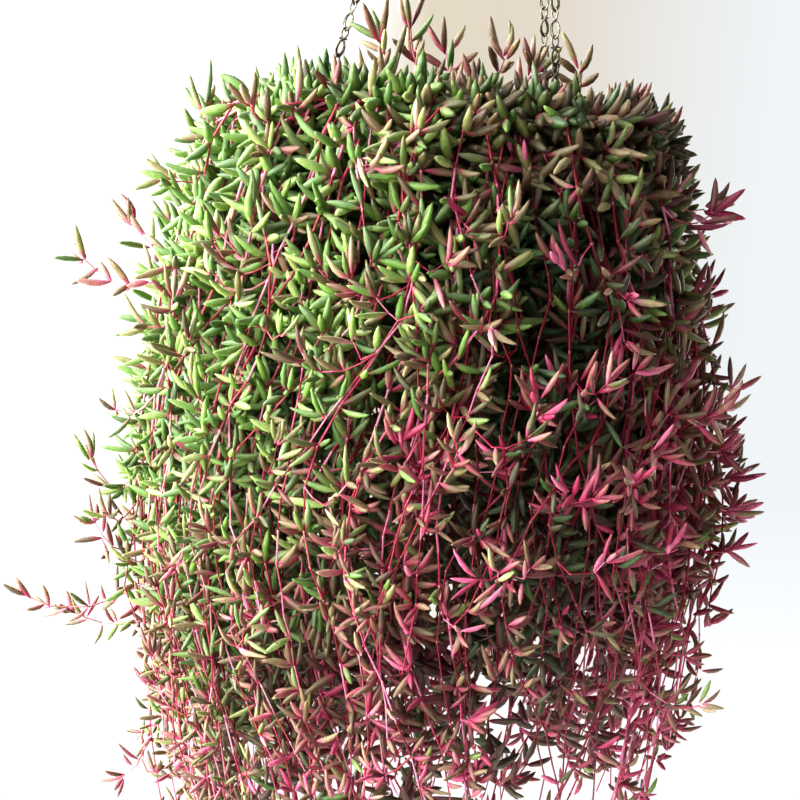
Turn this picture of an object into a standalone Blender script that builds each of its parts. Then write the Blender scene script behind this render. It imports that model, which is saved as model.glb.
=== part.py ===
"""Hanging pot of a trailing succulent with small pickle-shaped leaves on ruby stems.

A wire hook carries three chains of wire links, each clipped to a hole in the flange of a round plastic pot.
The pot holds potting soil. The plant grows out of the soil as a crown of upright tufts, and as bundles of
stems that arch over the rim and part into strands which hang all round the pot, some with a stray spray.
Metres, +Z up. The origin is the seat of the hook, where the whole object hangs.
"""

import math
import random

import bmesh
import bpy
import numpy as np
from mathutils import Matrix, Vector
from mathutils.bvhtree import BVHTree

# Hook, bent from one wire. Its eye and the clips' eyes turn nearly full circle.
HOOK_WIRE_R = 0.00125
HOOK_BEND_R = 0.016
HOOK_EYE_R = 0.009
HOOK_SHANK = 0.012
HOOK_TIP = 0.006
S_TURN = math.radians(60)
EYE_TURN = math.radians(325)
BEND_STEP = math.radians(36)

# Chains of long wire links. Their top links share the hook's eye, spread along its lower side.
CHAIN_ANGLES = [math.radians(60), math.radians(180), math.radians(300)]
LINK_WIRE_R = 0.00085
LINK_HALF_WIDTH = 0.0024
LINK_LENGTH = 0.0209
LINK_PITCH = 0.0199
LINKS_PER_CHAIN = 27
EYE_SPREAD = math.radians(34)
EYE_ORDER = [0, -1, 1]

# Wire clip between a chain and the pot's flange. It rises from under the flange to its eye.
CLIP_WIRE_R = 0.0010
CLIP_EYE_R = 0.0050
CLIP_BEND_R = 0.0040
CLIP_RISE = 0.0085
CLIP_TIP = 0.0030

# Pot with a flat flange round its rim, drained through its base
POT_RIM_R = 0.1065
POT_BASE_R = 0.080
POT_HEIGHT = 0.160
POT_WALL = 0.0025
FLANGE_R = 0.118
FLANGE_THICKNESS = 0.003
FLANGE_HOLE_AT = 0.1115
FLANGE_HOLE_R = 0.0025
DRAIN_COUNT = 4
DRAIN_R = 0.0045
DRAIN_AT = 0.045
POT_STEPS = 30
HOLE_SIDES = 8
CUT_PAST = 0.002
GAP = 0.0003

# Soil, domed, with a square hole for each root
SOIL_BELOW_RIM = 0.012
SOIL_DOME = 0.006
SOIL_STEPS = 18
ROOT_DEPTH = 0.009
ROOT_R = 0.0030
ROOT_HOLE_R = 0.0054
ROOT_UPRIGHT = 0.003

# Reach of the foliage from the pot's axis. Depths are measured down from the top of the crown.
CROWN_RISE = 0.055
OUTLINE = [
    (0.000, 0.138), (0.020, 0.180), (0.075, 0.196), (0.137, 0.214), (0.250, 0.226),
    (0.350, 0.221), (0.440, 0.209), (0.520, 0.192), (0.600, 0.164), (0.660, 0.120),
]
LEAN_TO_LIGHT = 0.024
LEAN_FADES_AT = 0.45
SWAY = 0.09
SWAY_FROM = 0.10
SWAY_LENGTH = 0.46

# Leaves, drawn at random and drawn again where one would touch another piece
LEAF_LENGTH = 0.030
LEAF_WIDTH = 0.0076
LEAF_DEPTH_SHARE = 0.85
LEAF_WIDEST_AT = 0.42
LENGTH_SPREAD = (0.80, 1.08)
LEAF_TRIES = 8
LEAF_SEED = 700
GOLDEN_ANGLE = math.radians(137.5)

# Bundles: stems grown together as a trunk, from the soil over the rim. Its stations are (radius, depth).
BUNDLES = 18
BUNDLE_SEED = 100
BUNDLE_ROOT_AT = 0.086
OVER_RIM = CROWN_RISE - 0.024
TRUNK_BEND = (BUNDLE_ROOT_AT + 0.007, OVER_RIM + 0.012)
TRUNK_CREST = (0.112, OVER_RIM)
TRUNK_END = (0.134, OVER_RIM + 0.002)
TRUNK_SWELL = 1.25
TRUNK_LEAVES = 3

# Strands part inside a trunk's end and hang in an arc. Each is its place across the bundle's share of the
# outline, its inset from the outline, and its shallowest and deepest end.
STRANDS = [(-0.5, 0.016, 0.47, 0.60), (0.5, 0.023, 0.56, 0.655)]
STRAND_START = (0.130, OVER_RIM + 0.001)
STRAND_FALL = 0.018
STRAND_STATIONS = 6
STRAND_R = 0.0019
TIP_R = 0.0013
STRAND_LEAVES = 11

# Stray sprays: the bundle, its strand, the share of the strand's length, and the reach and rise of the tip
SPRAYS = [
    (1, 0, 0.50, 0.046, 0.010), (4, 1, 0.30, 0.046, 0.015), (7, 1, 0.24, 0.066, 0.012),
    (8, 0, 0.36, 0.074, 0.004), (8, 1, 0.64, 0.080, -0.006), (9, 0, 0.78, 0.070, -0.020),
    (13, 1, 0.42, 0.050, 0.012), (16, 0, 0.72, 0.048, -0.004),
]
SPRAY_SAG = 0.010
SPRAY_R = 1.2 * TIP_R
SPRAY_LEAVES = 4

# Crown: one upright shoot at the middle and rings of more, each (count, radius)
TUFT_RINGS = [(1, 0.000), (4, 0.030), (6, 0.060)]
TUFT_SPREAD = 1.25
TUFT_BELOW_TOP = 0.022
TUFT_WAIST_R = 0.0045
TUFT_LEAVES = 8

# Where a limb's first leaf stands, as a share of its length, and how much its leaves lift
TRUNK_LEAVING = (0.40, 0.9)
STRAND_LEAVING = (0.02, 0.3)
SPRAY_LEAVING = (0.35, 0.1)
TUFT_LEAVES_FROM = 0.40
LEAF_ALONG = 0.3
FIRST_STRAY = 0.35
STRAY_STEP = 0.1

LEAF_GREEN = (0.23, 0.42, 0.10, 1.0)
POT_PLASTIC = (0.045, 0.05, 0.045, 1.0)
SOIL_BROWN = (0.07, 0.045, 0.03, 1.0)
ZINC_STEEL = (0.32, 0.31, 0.29, 1.0)
SHARP_ABOVE = math.radians(50)


def clear_scene():
    for old in list(bpy.data.objects):
        bpy.data.objects.remove(old)


def make_material(name, colour, roughness, metallic=0.0):
    material = bpy.data.materials.new(name)
    material.use_nodes = True
    shader = material.node_tree.nodes["Principled BSDF"]
    shader.inputs["Base Color"].default_value = colour
    shader.inputs["Roughness"].default_value = roughness
    shader.inputs["Metallic"].default_value = metallic
    material.diffuse_color = colour
    return material


def add_object(name, mesh, collection, material=None):
    obj = bpy.data.objects.new(name, mesh)
    collection.objects.link(obj)
    if material is not None:
        obj.data.materials.clear()
        obj.data.materials.append(material)
    return obj


def mesh_from(bm, name):
    bmesh.ops.recalc_face_normals(bm, faces=bm.faces)
    mesh = bpy.data.meshes.new(name)
    bm.to_mesh(mesh)
    bm.free()
    return mesh


def settled_mesh(obj, weld):
    """The object's evaluated mesh in world space, with points closer than the weld distance made one."""
    bpy.context.view_layer.update()
    graph = bpy.context.evaluated_depsgraph_get()
    mesh = bpy.data.meshes.new_from_object(obj.evaluated_get(graph))
    mesh.transform(obj.matrix_world)
    bm = bmesh.new()
    bm.from_mesh(mesh)
    bmesh.ops.remove_doubles(bm, verts=bm.verts, dist=weld)
    bmesh.ops.recalc_face_normals(bm, faces=bm.faces)
    bm.to_mesh(mesh)
    bm.free()
    return mesh


def drop_scraps(mesh):
    """Keeps a fused mesh's largest body. A leaf that fails to join, or a chip of one, is loose from it."""
    bm = bmesh.new()
    bm.from_mesh(mesh)
    unseen = set(bm.faces)
    bodies = []
    while unseen:
        body = [unseen.pop()]
        for face in body:
            for edge in face.edges:
                near = [other for other in edge.link_faces if other in unseen]
                unseen.difference_update(near)
                body.extend(near)
        bodies.append(body)
    bodies.sort(key=len)
    for scrap in bodies[:-1]:
        bmesh.ops.delete(bm, geom=scrap, context="FACES")
    bm.to_mesh(mesh)
    bm.free()


def tube_mesh(name, points, radii, resolution):
    """A round wire or stem along the points, as a mesh. Its radius may change from point to point."""
    curve = bpy.data.curves.new(name, "CURVE")
    curve.dimensions = "3D"
    curve.bevel_depth = 1.0
    curve.bevel_resolution = resolution
    curve.use_fill_caps = True
    spline = curve.splines.new("POLY")
    spline.points.add(len(points) - 1)
    for spot, place, radius in zip(spline.points, points, radii):
        spot.co = (*place, 1.0)
        spot.radius = radius
    obj = bpy.data.objects.new(name, curve)
    bpy.context.scene.collection.objects.link(obj)
    mesh = settled_mesh(obj, 1e-5)
    bpy.data.objects.remove(obj)
    bpy.data.curves.remove(curve)
    return mesh


def is_closed(mesh):
    bm = bmesh.new()
    bm.from_mesh(mesh)
    closed = all(edge.is_manifold for edge in bm.edges)
    bm.free()
    return closed


def fuse(name, meshes, collection, material):
    """One object from overlapping meshes: a union of the first with a collection of the others."""
    base = add_object(name, meshes[0], collection, material)
    others = bpy.data.collections.new(name + "_repeats")
    bpy.context.scene.collection.children.link(others)
    for number, mesh in enumerate(meshes[1:]):
        add_object(f"{name}_repeat_{number}", mesh, others)
    union = base.modifiers.new("union", "BOOLEAN")
    union.operation = "UNION"
    union.operand_type = "COLLECTION"
    union.collection = others
    for solver in ("EXACT", "MANIFOLD"):
        union.solver = solver
        fused = settled_mesh(base, 1e-6)
        drop_scraps(fused)
        if is_closed(fused):
            break
    base.modifiers.clear()
    base.data = fused
    base.data.materials.clear()
    base.data.materials.append(material)
    for extra in list(others.objects):
        bpy.data.objects.remove(extra)
    bpy.data.collections.remove(others)


def cut(obj, cutters):
    for number, cutter in enumerate(cutters):
        cutter.hide_render = True
        cutter.display_type = "WIRE"
        difference = obj.modifiers.new(f"cut_{number}", "BOOLEAN")
        difference.operation = "DIFFERENCE"
        difference.object = cutter
        difference.solver = "EXACT"


def bent_wire(start, heading, bends):
    """Points of a wire bent in one plane. A bend is a straight (length, 0) or an arc (radius, turn)."""
    x, z = start
    points = [(x, z)]
    for size, turn in bends:
        if turn == 0:
            x += size * math.cos(heading)
            z += size * math.sin(heading)
            points.append((x, z))
            continue
        side = math.copysign(1.0, turn)
        centre_x = x - side * size * math.sin(heading)
        centre_z = z + side * size * math.cos(heading)
        pieces = max(1, round(abs(turn) / BEND_STEP))
        for _ in range(pieces):
            heading += turn / pieces
            x = centre_x + side * size * math.sin(heading)
            z = centre_z - side * size * math.cos(heading)
            points.append((x, z))
    return points


def smooth(mesh):
    """Round faces shaded smooth, with the edges between flat ones left sharp."""
    mesh.shade_smooth()
    mesh.set_sharp_from_angle(angle=SHARP_ABOVE)


def hook_eye_z():
    """Height of the centre of the hook's eye: two S bends and the shank below the seat."""
    s_bend = 2 * HOOK_BEND_R * math.sin(S_TURN)
    eye_bend = 2 * HOOK_EYE_R * math.sin(S_TURN)
    return HOOK_WIRE_R - HOOK_BEND_R - s_bend - HOOK_SHANK - eye_bend


def make_hook(collection, material):
    """The wire starts as the eye, offsets over it in an S, and ends as a hook with its tip turned out."""
    first = S_TURN - EYE_TURN
    start = (HOOK_EYE_R * math.cos(first), hook_eye_z() + HOOK_EYE_R * math.sin(first))
    bends = [
        (HOOK_EYE_R, EYE_TURN), (HOOK_EYE_R, -S_TURN), (HOOK_SHANK, 0),
        (HOOK_BEND_R, -S_TURN), (HOOK_BEND_R, S_TURN), (HOOK_BEND_R, math.pi),
        (HOOK_TIP, 0), (HOOK_BEND_R, -S_TURN / 2),
    ]
    flat = bent_wire(start, first + math.pi / 2, bends)
    points = [(x, 0.0, z) for x, z in flat]
    mesh = tube_mesh("hook", points, [HOOK_WIRE_R] * len(points), 1)
    smooth(mesh)
    add_object("hook", mesh, collection, material)


def rim_z():
    """Height of the flange's top face, from the length of the hanging chains."""
    slope = math.sqrt(chain_length() ** 2 - FLANGE_HOLE_AT**2)
    return hook_eye_z() - HOOK_EYE_R - slope - clip_eye_above_flange()


def chain_length():
    return LINKS_PER_CHAIN * LINK_PITCH


def clip_eye_above_flange():
    return CLIP_RISE - FLANGE_THICKNESS + 2 * CLIP_EYE_R * math.sin(S_TURN) + CLIP_EYE_R


def clip_eye_centre(angle):
    height = rim_z() + clip_eye_above_flange() - CLIP_EYE_R
    return Vector((FLANGE_HOLE_AT * math.cos(angle), FLANGE_HOLE_AT * math.sin(angle), height))


def make_clip(name, angle, collection, material):
    """The wire comes down outside the flange, turns under it, and rises through the hole to a closed eye."""
    bottom = rim_z() - FLANGE_THICKNESS
    start = (FLANGE_HOLE_AT + 2 * CLIP_BEND_R, bottom + CLIP_TIP)
    bends = [
        (CLIP_TIP + GAP, 0), (CLIP_BEND_R, -math.pi), (CLIP_RISE + GAP, 0),
        (CLIP_EYE_R, S_TURN), (CLIP_EYE_R, -EYE_TURN),
    ]
    flat = bent_wire(start, -math.pi / 2, bends)
    points = [(r * math.cos(angle), r * math.sin(angle), z) for r, z in flat]
    mesh = tube_mesh(name, points, [CLIP_WIRE_R] * len(points), 0)
    add_object(name, mesh, collection, material)


def link_mesh():
    """One long link in the XZ plane: a square ring of three-sided wire, pulled apart at its middle."""
    bm = bmesh.new()
    bmesh.ops.create_circle(bm, segments=3, radius=LINK_WIRE_R)
    bmesh.ops.translate(bm, verts=bm.verts, vec=(LINK_HALF_WIDTH * math.sqrt(2), 0, 0))
    bmesh.ops.rotate(bm, verts=bm.verts, cent=(0, 0, 0), matrix=Matrix.Rotation(math.pi / 4, 3, "Y"))
    bmesh.ops.spin(
        bm, geom=bm.edges[:] + bm.verts[:], cent=(0, 0, 0), axis=(0, 1, 0), angle=2 * math.pi,
        steps=4, use_merge=True,
    )
    for vert in bm.verts:
        vert.co.z += math.copysign(LINK_LENGTH / 2 - LINK_HALF_WIDTH, vert.co.z)
    return mesh_from(bm, "link")


def chain_ends(number):
    """Where a chain's first and last links bear: inside the hook's eye and inside the clip's eye."""
    around = EYE_SPREAD * EYE_ORDER[number] - math.pi / 2
    inner = HOOK_EYE_R - HOOK_WIRE_R - LINK_WIRE_R - GAP
    upper = Vector((inner * math.cos(around), 0.0, hook_eye_z() + inner * math.sin(around)))
    drop = CLIP_WIRE_R + LINK_WIRE_R + GAP
    lower = clip_eye_centre(CHAIN_ANGLES[number]) + Vector((0, 0, CLIP_EYE_R - drop))
    return upper, lower


def make_chain(name, number, collection, material):
    """Links set at right angles by turns, each fused to the next where they bear on each other."""
    upper, lower = chain_ends(number)
    down = (lower - upper).normalized()
    pitch = ((lower - upper).length - LINK_LENGTH) / (LINKS_PER_CHAIN - 1)
    angle = CHAIN_ANGLES[number]
    tangent = Vector((-math.sin(angle), math.cos(angle), 0))
    links = []
    for place in range(LINKS_PER_CHAIN):
        # The first link crosses the hook's eye, which lies in the XZ plane, and the last one the clip's.
        share = place / (LINKS_PER_CHAIN - 1)
        wide = Vector((0, 1, 0)).lerp(tangent * math.copysign(1.0, tangent.y or 1.0), share)
        wide = (wide - down * wide.dot(down)).normalized()
        if place % 2:
            wide = wide.cross(down)
        turned = Matrix((wide, wide.cross(down), -down)).transposed()
        mesh = link_mesh()
        centre = upper + down * (LINK_LENGTH / 2 + place * pitch)
        mesh.transform(Matrix.Translation(centre) @ turned.to_4x4())
        links.append(mesh)
    fuse(name, links, collection, material)


def turned(name, outline, steps, collection, material):
    """A solid turned about Z from an outline of (radius, height) that starts and ends on the axis."""
    bm = bmesh.new()
    verts = [bm.verts.new((r, 0, z)) for r, z in outline]
    for a, b in zip(verts, verts[1:]):
        bm.edges.new((a, b))
    obj = add_object(name, mesh_from(bm, name), collection, material)
    screw = obj.modifiers.new("turn", "SCREW")
    screw.axis = "Z"
    screw.angle = 2 * math.pi
    screw.steps = steps
    screw.render_steps = steps
    screw.use_smooth_shade = True
    screw.use_merge_vertices = True
    screw.merge_threshold = 1e-5
    solid = settled_mesh(obj, 1e-6)
    obj.modifiers.clear()
    smooth(solid)
    obj.data = solid
    return obj


def peg(name, radius, low, high, place, sides, collection):
    """An upright cutter, round or square."""
    bm = bmesh.new()
    bmesh.ops.create_cone(
        bm, cap_ends=True, segments=sides, radius1=radius, radius2=radius, depth=high - low
    )
    bmesh.ops.translate(bm, verts=bm.verts, vec=(place[0], place[1], (low + high) / 2))
    return add_object(name, mesh_from(bm, name), collection)


def make_pot(collection, cutters, material):
    top = rim_z()
    base = top - POT_HEIGHT
    under = top - FLANGE_THICKNESS
    outline = [
        (0.0, base + POT_WALL), (POT_BASE_R - POT_WALL, base + POT_WALL), (POT_RIM_R - POT_WALL, top),
        (FLANGE_R, top), (FLANGE_R, under), (POT_RIM_R, under), (POT_BASE_R, base), (0.0, base),
    ]
    pot = turned("pot", outline, POT_STEPS, collection, material)
    holes = []
    for number, angle in enumerate(CHAIN_ANGLES):
        spot = (FLANGE_HOLE_AT * math.cos(angle), FLANGE_HOLE_AT * math.sin(angle))
        low, high = under - CUT_PAST, top + CUT_PAST
        holes.append(peg(f"flange_hole_{number}", FLANGE_HOLE_R, low, high, spot, HOLE_SIDES, cutters))
    for number in range(DRAIN_COUNT):
        angle = 2 * math.pi * (number + 0.5) / DRAIN_COUNT
        spot = (DRAIN_AT * math.cos(angle), DRAIN_AT * math.sin(angle))
        low, high = base - CUT_PAST, base + POT_WALL + CUT_PAST
        holes.append(peg(f"drain_{number}", DRAIN_R, low, high, spot, HOLE_SIDES, cutters))
    cut(pot, holes)


def soil_top(radius):
    """Height of the soil's domed top at a radius."""
    share = radius / (POT_RIM_R - POT_WALL)
    return rim_z() - SOIL_BELOW_RIM + SOIL_DOME * (1 - share**2)


def make_soil(collection, cutters, material, roots):
    top = rim_z()
    base = top - POT_HEIGHT + POT_WALL + GAP
    lean = (POT_RIM_R - POT_BASE_R) / (POT_HEIGHT - POT_WALL)
    edge_top = POT_RIM_R - POT_WALL - SOIL_BELOW_RIM * lean - 2 * GAP
    edge_base = POT_BASE_R - POT_WALL - 2 * GAP
    radii = [0.0, 0.5 * edge_top, 0.8 * edge_top, edge_top]
    outline = [(r, soil_top(r)) for r in radii]
    outline += [(edge_base, base), (0.0, base)]
    soil = turned("soil", outline, SOIL_STEPS, collection, material)
    pegs = []
    for number, (radius, angle) in enumerate(roots):
        low = soil_top(radius) - ROOT_DEPTH
        place = (radius * math.cos(angle), radius * math.sin(angle))
        pegs.append(peg(f"root_hole_{number}", ROOT_HOLE_R, low, top, place, 4, cutters))
    cut(soil, pegs)


def crown_top():
    return rim_z() + CROWN_RISE


def outline_radius(angle, depth):
    """How far the foliage reaches from the pot's axis, further on the side that leans to the light."""
    depths, radii = zip(*OUTLINE)
    lean = LEAN_TO_LIGHT * max(0.0, 1 - depth / LEAN_FADES_AT)
    return float(np.interp(depth, depths, radii)) - lean * math.cos(angle)


def swayed(angle, depth):
    """All bundles swing to the same side at one depth, so that neighbours never cross."""
    held = min(1.0, max(0.0, depth - SWAY_FROM) / SWAY_FROM)
    return angle + SWAY * held * math.sin(2 * math.pi * depth / SWAY_LENGTH)


def polar(radius, angle, height):
    return Vector((radius * math.cos(angle), radius * math.sin(angle), height))


def hung(radius, angle, depth):
    """A point of the foliage, with the sway of its depth."""
    return polar(radius, swayed(angle, depth), crown_top() - depth)


def leaf_mesh():
    """A pickle-shaped leaf along +Z from its root: a three-sided spindle, widest below its middle."""
    bm = bmesh.new()
    bmesh.ops.create_uvsphere(bm, u_segments=3, v_segments=2, radius=0.5)
    bmesh.ops.translate(bm, verts=bm.verts, vec=(0, 0, 0.5))
    for vert in bm.verts:
        if 0.1 < vert.co.z < 0.9:
            vert.co.z = LEAF_WIDEST_AT
    return mesh_from(bm, "leaf")


def placed_leaf(template, root, aim, length, width, roll):
    mesh = template.copy()
    turn = aim.to_track_quat("Z", "Y").to_matrix().to_4x4()
    size = Matrix.Diagonal((width, width * LEAF_DEPTH_SHARE, length, 1.0))
    mesh.transform(Matrix.Translation(root) @ turn @ Matrix.Rotation(roll, 4, "Z") @ size)
    return mesh


def surface_of(mesh):
    corners = [vert.co for vert in mesh.vertices]
    return BVHTree.FromPolygons(corners, [face.vertices for face in mesh.polygons])


def along(points, share):
    """Place and direction at a share of a path's length."""
    steps = [(b - a).length for a, b in zip(points, points[1:])]
    wanted = share * sum(steps)
    for number, step in enumerate(steps):
        if wanted <= step:
            break
        wanted -= step
    way = (points[number + 1] - points[number]).normalized()
    return points[number].lerp(points[number + 1], min(1.0, wanted / step)), way


def bundle_angle(number):
    return (number + 0.5) * 2 * math.pi / BUNDLES


def trunk_path(angle):
    """Stems grown together: up from the soil and over the rim. The strands part from its outer end."""
    soil_depth = crown_top() - soil_top(BUNDLE_ROOT_AT)
    foot = (BUNDLE_ROOT_AT, soil_depth + ROOT_DEPTH - GAP)
    ground = (BUNDLE_ROOT_AT, soil_depth - ROOT_UPRIGHT)
    stations = [foot, ground, TRUNK_BEND, TRUNK_CREST, TRUNK_END]
    return [polar(radius, angle, crown_top() - depth) for radius, depth in stations]


def strand_path(angle, aside, inset, end):
    """From inside the trunk's end, out to the outline and down to a free end."""
    radius, depth = STRAND_START
    points = [polar(radius, angle, crown_top() - depth)]
    here = angle + aside
    for lower in np.linspace(depth + STRAND_FALL, end, STRAND_STATIONS):
        points.append(hung(outline_radius(here, lower) - inset, here, lower))
    return points


def spray_path(strand, share, reach, rise):
    """A stray stem that leaves a strand outward in a shallow arc."""
    start, _ = along(strand, share)
    outward = Vector((start.x, start.y, 0)).normalized()
    points = []
    for step in (0.0, 0.35, 0.7, 1.0):
        lift = rise * step - SPRAY_SAG * math.sin(math.pi * step)
        points.append(start + outward * reach * step + Vector((0, 0, lift)))
    return points


def leaf_spots(points, leaving, count):
    """Roots and aims of leaves all round a stem, turned by the golden angle from one to the next."""
    first, lift = leaving
    spots = []
    for leaf in range(count):
        place, way = along(points, first + (1 - first) * (leaf + 0.6) / count)
        side = Vector((-place.y, place.x, 0)).normalized()
        side = (side - way * side.dot(way)).normalized()
        turn = leaf * GOLDEN_ANGLE
        across = side * math.sin(turn) + side.cross(way) * math.cos(turn)
        spots.append((place, across + way * LEAF_ALONG + Vector((0, 0, lift))))
    return spots


def stem_mesh(name, points, thick, thin):
    return tube_mesh(name, points, np.linspace(thick, thin, len(points)), 0)


def trailing_bundle(number):
    """A bundle's limbs as meshes, and the spots of its leaves."""
    draw = random.Random(BUNDLE_SEED + number)
    name = f"trailing_bundle_{number + 1:02d}"
    angle = bundle_angle(number)
    points = trunk_path(angle)
    limbs = [stem_mesh(name, points, ROOT_R, ROOT_R * TRUNK_SWELL)]
    spots = leaf_spots(points, TRUNK_LEAVING, TRUNK_LEAVES)
    for strand, (across, inset, shallow, deep) in enumerate(STRANDS):
        points = strand_path(angle, across * math.pi / BUNDLES, inset, draw.uniform(shallow, deep))
        limbs.append(stem_mesh(name, points, STRAND_R, TIP_R))
        spots += leaf_spots(points, STRAND_LEAVING, STRAND_LEAVES)
        for owner, holder, share, reach, rise in SPRAYS:
            if (owner, holder) == (number, strand):
                spray = spray_path(points, share, reach, rise)
                limbs.append(stem_mesh(name, spray, SPRAY_R, TIP_R))
                spots += leaf_spots(spray, SPRAY_LEAVING, SPRAY_LEAVES)
    return name, limbs, spots


def tuft_roots():
    """Where the crown's shoots stand, as (radius, angle). Every other ring is turned half a step."""
    roots = []
    for ring, (count, radius) in enumerate(TUFT_RINGS):
        for place in range(count):
            roots.append((radius, (place + 0.5 * (ring % 2)) * 2 * math.pi / count))
    return roots


def crown_tuft(number, radius, angle):
    """An upright shoot of the crown, and the spots of the leaves which spread from it."""
    name = f"crown_tuft_{number + 1:02d}"
    foot = polar(radius, angle, soil_top(radius) - ROOT_DEPTH + GAP)
    ground = polar(radius, angle, soil_top(radius) + ROOT_UPRIGHT)
    head = polar(radius * TUFT_SPREAD, angle, crown_top() - TUFT_BELOW_TOP)
    points = [foot, ground, ground.lerp(head, 0.5), head]
    radii = [ROOT_R, ROOT_R, TUFT_WAIST_R, ROOT_R]
    spots = []
    for leaf in range(TUFT_LEAVES):
        share = TUFT_LEAVES_FROM + (1 - TUFT_LEAVES_FROM) * (leaf + 0.6) / TUFT_LEAVES
        place, _ = along(points, share)
        turn = GOLDEN_ANGLE * leaf + number
        flat = Vector((math.cos(turn), math.sin(turn), 0))
        spots.append((place, flat * (1.5 - share) + Vector((0, 0, share))))
    return name, [tube_mesh(name, points, radii, 0)], spots


def with_leaves(template, number, grown, surfaces):
    """Adds a leaf at each spot of one foliage piece, turned until it is clear of every other piece."""
    draw = random.Random(LEAF_SEED + number)
    name, meshes, spots = grown[number]
    others = [surface for owner, surface in surfaces if owner != name]
    for root, lean in spots:
        for attempt in range(LEAF_TRIES):
            stray = Vector([draw.uniform(-1, 1) for _ in range(3)]) * (FIRST_STRAY + STRAY_STEP * attempt)
            aim = (lean.normalized() + stray).normalized()
            length = LEAF_LENGTH * draw.uniform(*LENGTH_SPREAD)
            roll = draw.uniform(0, 2 * math.pi)
            swollen = placed_leaf(template, root, aim, length + 2 * GAP, LEAF_WIDTH + 4 * GAP, roll)
            if not any(surface_of(swollen).overlap(other) for other in others):
                meshes.append(placed_leaf(template, root, aim, length, LEAF_WIDTH, roll))
                surfaces.append((name, surface_of(meshes[-1])))
                break
    return meshes


def main():
    clear_scene()
    model = bpy.data.collections.new("hanging_potted_succulent")
    cutters = bpy.data.collections.new("cutters")
    for collection in (model, cutters):
        bpy.context.scene.collection.children.link(collection)
    green = make_material("leaf_green", LEAF_GREEN, 0.45)
    plastic = make_material("pot_plastic", POT_PLASTIC, 0.5)
    soil = make_material("potting_soil", SOIL_BROWN, 0.95)
    zinc = make_material("zinc_steel", ZINC_STEEL, 0.4, 1.0)
    make_hook(model, zinc)
    for number, angle in enumerate(CHAIN_ANGLES):
        make_chain(f"chain_{number + 1}", number, model, zinc)
        make_clip(f"clip_{number + 1}", angle, model, zinc)
    make_pot(model, cutters, plastic)
    tufts = tuft_roots()
    bundles = [(BUNDLE_ROOT_AT, bundle_angle(number)) for number in range(BUNDLES)]
    make_soil(model, cutters, soil, tufts + bundles)
    bpy.context.view_layer.update()
    graph = bpy.context.evaluated_depsgraph_get()
    surfaces = [(obj.name, BVHTree.FromObject(obj, graph)) for obj in model.objects]
    grown = [trailing_bundle(number) for number in range(BUNDLES)]
    grown += [crown_tuft(number, radius, angle) for number, (radius, angle) in enumerate(tufts)]
    for name, limbs, _ in grown:
        surfaces += [(name, surface_of(limb)) for limb in limbs]
    template = leaf_mesh()
    for number, (name, _, _) in enumerate(grown):
        fuse(name, with_leaves(template, number, grown, surfaces), model, green)


main()
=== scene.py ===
"""The looks of a hanging pot of a trailing succulent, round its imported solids. Metres, +Z up."""

import math
import random
from collections import namedtuple

import bmesh
import bpy
import numpy as np
from mathutils import Matrix, Quaternion, Vector
from mathutils.noise import turbulence


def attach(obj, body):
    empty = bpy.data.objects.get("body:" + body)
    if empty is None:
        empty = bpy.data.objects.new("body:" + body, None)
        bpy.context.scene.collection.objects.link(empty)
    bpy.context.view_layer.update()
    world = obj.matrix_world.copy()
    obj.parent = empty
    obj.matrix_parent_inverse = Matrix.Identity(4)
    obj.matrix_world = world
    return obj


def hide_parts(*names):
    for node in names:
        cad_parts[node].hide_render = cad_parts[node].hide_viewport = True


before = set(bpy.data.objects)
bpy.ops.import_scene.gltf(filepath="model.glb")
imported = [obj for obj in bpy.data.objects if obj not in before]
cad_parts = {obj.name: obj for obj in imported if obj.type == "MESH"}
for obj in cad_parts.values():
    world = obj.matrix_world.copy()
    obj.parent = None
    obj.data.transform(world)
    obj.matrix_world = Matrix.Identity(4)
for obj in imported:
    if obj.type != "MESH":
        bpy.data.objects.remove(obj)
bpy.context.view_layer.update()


# View. The photograph was taken from level with the plant with a long lens, held a little askew. Light comes
# from a wide window on the left, and the wall behind is nearly white, warmer on the right.
LOOKED_AT = Vector((-0.033, 0.0, -0.813))
CAMERA_AWAY = 2.5
CAMERA_ROLL = math.radians(5.8)
SENSOR_MM = 36
LENS_MM = 154
FLOOR_Z = -1.80
FLOOR_R = 3.4
FLOOR_COLOUR = (0.74, 0.72, 0.70, 1)
WALL_FROM_X, WALL_TO_X = -0.024, 0.102
WALL_COLOURS = [
    (1.0, 1.0, 1.0), (0.665, 0.605, 0.495), (0.66, 0.60, 0.50), (0.67, 0.62, 0.55), (0.695, 0.68, 0.65),
    (0.72, 0.73, 0.73), (0.74, 0.77, 0.79),
]
LOW_WALL_FROM_Z, LOW_WALL_TO_Z = -0.02, -0.10
LOW_WALL_COLOUR = (0.92, 0.92, 0.93, 1)
ROOM_GLOW = [(1.90, 1.95, 2.10), (0.058, 0.056, 0.054), (0.056, 0.053, 0.050)]

camera_data = bpy.data.cameras.new("camera")
camera_data.sensor_width = SENSOR_MM
camera_data.lens = LENS_MM
camera = bpy.data.objects.new("camera", camera_data)
camera.location = LOOKED_AT - Vector((0, CAMERA_AWAY, 0))
camera.rotation_euler = (math.pi / 2, -CAMERA_ROLL, 0)
bpy.context.scene.collection.objects.link(camera)
bpy.context.scene.camera = camera
bpy.context.scene.view_settings.view_transform = "Standard"
bpy.context.scene.view_settings.look = "Medium High Contrast"


def add_light(name, place, aim, size, power, colour):
    """A soft light as wide and high as its size, of a power in watts."""
    data = bpy.data.lights.new(name, "AREA")
    data.shape = "RECTANGLE"
    data.size, data.size_y = size
    data.energy = power
    data.color = colour
    light = bpy.data.objects.new(name, data)
    light.location = place
    light.rotation_euler = (Vector(aim) - Vector(place)).to_track_quat("-Z", "Y").to_euler()
    bpy.context.scene.collection.objects.link(light)


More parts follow.
